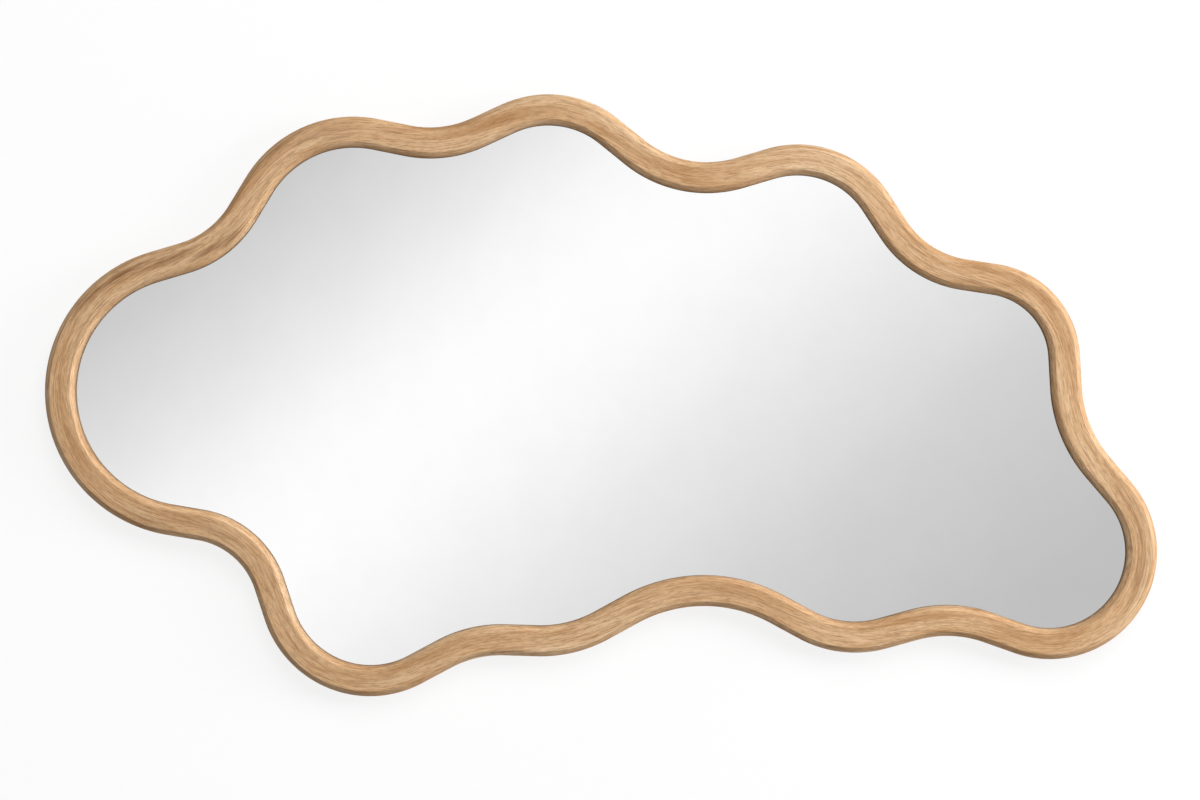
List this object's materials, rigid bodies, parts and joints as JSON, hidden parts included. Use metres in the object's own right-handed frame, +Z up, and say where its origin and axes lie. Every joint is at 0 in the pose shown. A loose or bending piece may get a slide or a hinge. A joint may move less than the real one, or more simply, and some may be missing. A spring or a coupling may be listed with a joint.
{
  "type": "irregular wavy wall mirror",
  "caption": "Long wall mirror of free wavy outline in a narrow bevelled oak rail, with a backing board and folding D-ring hangers.",
  "frame": {"origin": "middle of the overall box: half of the length, height and depth", "axes": "+X along the length, to the right seen from the front; +Y from the glass towards the wall; +Z up"},
  "size_m": [1.199, 0.028, 0.649],
  "materials": {
    "oak": "satin clear lacquer, grain along the rail",
    "tenon_beech": "planed",
    "mirror_glass": "clear float glass silvered at the back",
    "foam": "closed-cell foam",
    "fibreboard": "smooth pressed fibre",
    "zinc_screw": "bright zinc plate",
    "zinc_strap": "zinc plated pressed sheet",
    "ring_wire": "zinc plated drawn wire",
    "pad_rubber": "matte moulded rubber"
  },
  "bodies": {
    "mirror": {"rail_piece_01": "oak", "rail_piece_02": "oak", "rail_piece_03": "oak", "rail_piece_04": "oak", "rail_piece_05": "oak", "rail_piece_06": "oak", "rail_piece_07": "oak", "rail_piece_08": "oak", "rail_piece_09": "oak", "rail_piece_10": "oak", "rail_piece_11": "oak", "rail_piece_12": "oak", "rail_piece_13": "oak", "rail_piece_14": "oak", "rail_piece_15": "oak", "rail_piece_16": "oak", "rail_piece_17": "oak", "rail_piece_18": "oak", "rail_tenons": "tenon_beech", "mirror_glass": "mirror_glass", "foam_sheet": "foam", "backing_board": "fibreboard", "board_screws": "zinc_screw", "hanger_strap_upper_left": "zinc_strap", "hanger_strap_upper_right": "zinc_strap", "hanger_strap_upright_upper": "zinc_strap", "hanger_strap_upright_lower": "zinc_strap", "hanger_screws": "zinc_screw", "wall_pads": "pad_rubber"},
    "ring_upper_left": {"hanger_ring_upper_left": "ring_wire"},
    "ring_upper_right": {"hanger_ring_upper_right": "ring_wire"},
    "ring_upright_upper": {"hanger_ring_upright_upper": "ring_wire"},
    "ring_upright_lower": {"hanger_ring_upright_lower": "ring_wire"}
  },
  "joints": [
    {"name": "ring_upper_left_fold", "type": "hinge", "parent": "mirror", "child": "ring_upper_left", "pos_m": [-0.38986, 0.01035, 0.20436], "axis": [-0.8557, 0, 0.5175], "range_deg": [0, 178.5]},
    {"name": "ring_upper_right_fold", "type": "hinge", "parent": "mirror", "child": "ring_upper_right", "pos_m": [0.30669, 0.01035, 0.2046], "axis": [-0.8374, 0, -0.5466], "range_deg": [0, 178.5]},
    {"name": "ring_upright_upper_fold", "type": "hinge", "parent": "mirror", "child": "ring_upright_upper", "pos_m": [-0.46254, 0.01035, 0.15107], "axis": [0.2864, 0, -0.9581], "range_deg": [0, 178.5]},
    {"name": "ring_upright_lower_fold", "type": "hinge", "parent": "mirror", "child": "ring_upright_lower", "pos_m": [-0.46217, 0.01035, -0.14135], "axis": [-0.1682, 0, -0.9857], "range_deg": [0, 178.5]}
  ]
}
